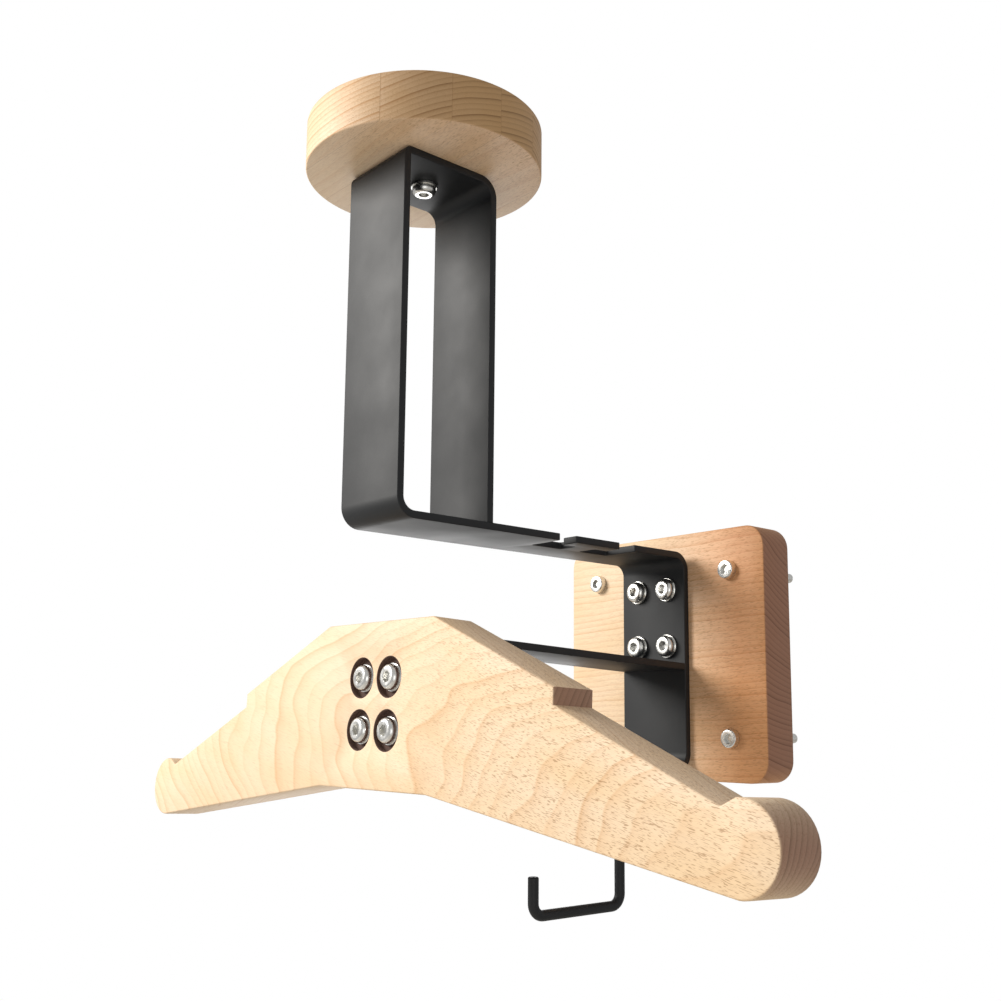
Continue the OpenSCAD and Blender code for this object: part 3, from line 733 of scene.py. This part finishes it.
class RACK_OT_fixings(bpy.types.Operator):
    """Screws, bolts, washers and nuts of zinc-plated steel, and the brass inserts in the wood"""

    bl_idname = "rack.fixings"
    bl_label = "Fixings"

    def execute(self, context):
        turns = (0.2, 0.75, 0.42, 0.95)                   # no two sockets stand at the same angle
        in_wood, in_hanger = 19.6, 34.7                   # lengths of the bolts under their heads

        def fixing(name, node, parts, to_rack=None):
            """One zinc-plated piece; a washer's or nut's grid also closes along its profile."""
            ring = "washer" in name or "nut" in name
            parts = [to_rack(p) if to_rack else p for p in parts]
            piece(name, [(p, ring, True) for p in parts], (), [node], zinc(), 28)

        def corners(half_x, half_z):
            """Count, name's ending and place of each of four fixings about their middle."""
            spots = [(x * half_x, z * half_z) for x in (-1, 1) for z in (-1, 1)]
            return [(k, "_%d" % (k + 1), *spot) for k, spot in enumerate(spots)]

        (cx, _, cz), (w, length, h) = middle("wall_screws"), size("wall_screws")
        y = BOXES["wall_screws"][0][1] / MM + WALL_HEAD_HEIGHT
        for k, number, x, z in corners((w - WALL_HEAD) / 2, (h - WALL_HEAD) / 2):
            at = (cx + x, y, cz + z)
            shank = thread(SCREW, 0, length - WALL_HEAD_HEIGHT, 2.0, 0.5)
            fixing("wall_screw" + number, "wall_screws", [placed(cap_head(), at, "y", turns[k]),
                                                          placed(shank, at, "y")])

        (cx, _, cz), (w, _, h) = middle("frame_screws"), size("frame_screws")
        y = BOXES["frame_washers"][0][1] / MM
        for k, number, x, z in corners((w - HEAD) / 2, (h - HEAD) / 2):
            at = (cx + x, y, cz + z)
            fixing("frame_screw" + number, "frame_screws", [placed(button_head(), at, "y", turns[3 - k]),
                                                            placed(thread(SCREW, 0, in_wood), at, "y")])
            fixing("frame_washer" + number, "frame_washers", [placed(washer(), at, "y")])

        front = POCKET_DEPTH - HANGER_BOARD - WASHER      # the washers' fronts, from the board's back
        for k, number, x, z in corners(BOLT_X, BOLT_Z):
            at = (x, front, z)
            fixing("hanger_bolt" + number, "hanger_bolts", [placed(button_head(), at, "y", turns[k] + 0.3),
                                                            placed(thread(SCREW, 0, in_hanger), at, "y")], from_hanger)
            fixing("hanger_washer" + number, "hanger_washers", [placed(washer(), at, "y")], from_hanger)
            fixing("hanger_back_washer" + number, "hanger_back_washers", [placed(washer(), (x, STRIP, z), "y")],
                   from_hanger)
            fixing("hanger_nut" + number, "hanger_nuts", [placed(nut(), (x, STRIP + WASHER, z), "y", turns[k])],
                   from_hanger)

        at = (*middle("disc_bolt")[:2], BOXES["disc_washer"][0][2] / MM)
        fixing("disc_bolt_steel", "disc_bolt", [placed(button_head(), at, turn=0.5),
                                                placed(thread(SCREW, 0, in_wood), at)])
        fixing("disc_washer_steel", "disc_washer", [placed(washer(), at)])
        brass = shared("Turned brass", lambda: plated("Turned brass", context.scene.rack_metal.brass, 0.25, 0.4))
        for name in ("frame_inserts", "disc_insert"):
            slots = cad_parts[name].data.materials
            slots.clear()
            slots.append(brass)
        return {"FINISHED"}


class RACK_OT_stage(bpy.types.Operator):
    """Pale floor, soft lights and the camera"""

    bl_idname = "rack.stage"
    bl_label = "Floor, light and camera"

    def execute(self, context):
        stage, scene = context.scene.rack_stage, context.scene
        mesh = bpy.data.meshes.new("floor")
        a = np.linspace(0, 2 * np.pi, 128, endpoint=False)
        ring = np.stack([2 * np.cos(a), 2 * np.sin(a), np.full(128, stage.floor)], -1)
        mesh.from_pydata(ring.tolist(), [], [list(range(128))])
        floor = bpy.data.objects.new("floor", mesh)
        made, _, shader = new_material("Matt white floor paint")
        feed(shader, {"Base Color": linear("D6D4D0"), "Roughness": 0.9})
        mesh.materials.append(made)
        scene.collection.objects.link(floor)

        world = bpy.data.worlds.new("Soft room light")
        world.use_nodes = True
        t = world.node_tree
        t.nodes.clear()
        seen = add(t, "LightPath")
        white = add(t, "Background", {"Color": (1, 1, 1, 1), "Strength": 1.0})
        gloss = add(t, "Background", {"Color": (1, 1, 1, 1), "Strength": stage.gloss})
        soft = add(t, "Background", {"Color": linear("F4F1EC"), "Strength": stage.sky})
        lit = add(t, "MixShader", {0: seen.outputs["Is Glossy Ray"], 1: soft, 2: gloss})
        both = add(t, "MixShader", {0: seen.outputs["Is Camera Ray"], 1: lit, 2: white})
        add(t, "OutputWorld", {"Surface": both})
        scene.world = world

        def light(name, at, aim, power, width, tint="FFFFFF"):
            data = bpy.data.lights.new(name, "AREA")
            data.energy, data.size, data.color = power, width, linear(tint)[:3]
            lamp = bpy.data.objects.new(name, data)
            lamp.location = at
            lamp.rotation_euler = (Vector(aim) - Vector(at)).to_track_quat("-Z", "Y").to_euler()
            scene.collection.objects.link(lamp)
            return lamp

        light("Key light", (-1.25, -1.65, 0.9), (0.0, -0.15, 0.0), stage.key, 1.0, "FFFCF7")
        panel = light("Back light", (-1.2, 0.85, -0.2), (0.0, -0.15, 0.05), stage.back, 1.0)
        panel.visible_diffuse = False                     # a white panel that shows in reflections only
        light("Fill light", (1.5, -1.1, -0.2), (0.0, -0.1, 0.0), stage.fill, 1.0)
        scene.view_settings.view_transform = "Standard"

        data = bpy.data.cameras.new("Camera")
        data.sensor_width, data.lens = 36.0, 41.3705095
        data.shift_x, data.shift_y = 0.00620979, 0.04577622
        data.clip_start = 0.02
        yaw, pitch, roll = 0.86343, 0.152, 0.01043
        ahead = Vector((-math.sin(yaw) * math.cos(pitch), math.cos(yaw) * math.cos(pitch), math.sin(pitch)))
        right = Vector((math.cos(yaw), math.sin(yaw), 0))
        up = right.cross(ahead)
        r = right * math.cos(roll) + up * math.sin(roll)
        u = up * math.cos(roll) - right * math.sin(roll)
        camera = bpy.data.objects.new("Camera", data)
        turn = Matrix((r, u, -ahead)).transposed().to_4x4()
        camera.matrix_world = Matrix.Translation((0.475516, -0.564461, -0.041258)) @ turn
        scene.collection.objects.link(camera)
        scene.camera = camera
        return {"FINISHED"}


STEPS = (RACK_OT_wall_plate, RACK_OT_frame, RACK_OT_disc, RACK_OT_hanger, RACK_OT_hook, RACK_OT_fixings, RACK_OT_stage)


class RACK_PT_panel(bpy.types.Panel):
    """Lists the rack's pieces and their sizes"""

    bl_label = "Wall rack"
    bl_idname = "RACK_PT_panel"
    bl_space_type = "VIEW_3D"
    bl_region_type = "UI"
    bl_category = "Rack"

    def draw(self, context):
        for group in (context.scene.rack_wood, context.scene.rack_metal, context.scene.rack_stage):
            for key in group.__annotations__:
                self.layout.prop(group, key)
        for step in STEPS:
            self.layout.operator(step.bl_idname)


GROUPS = {"rack_wood": RackWood, "rack_metal": RackMetal, "rack_stage": RackStage}


def register():
    for name, group in GROUPS.items():
        bpy.utils.register_class(group)
        setattr(bpy.types.Scene, name, bpy.props.PointerProperty(type=group))
    for item in STEPS + (RACK_PT_panel,):
        bpy.utils.register_class(item)


def unregister():
    for item in (RACK_PT_panel,) + STEPS[::-1]:
        bpy.utils.unregister_class(item)
    for name, group in GROUPS.items():
        delattr(bpy.types.Scene, name)
        bpy.utils.unregister_class(group)


def main():
    register()
    for step in STEPS:
        group, name = step.bl_idname.split(".")
        getattr(getattr(bpy.ops, group), name)()


if __name__ == "__main__":
    main()
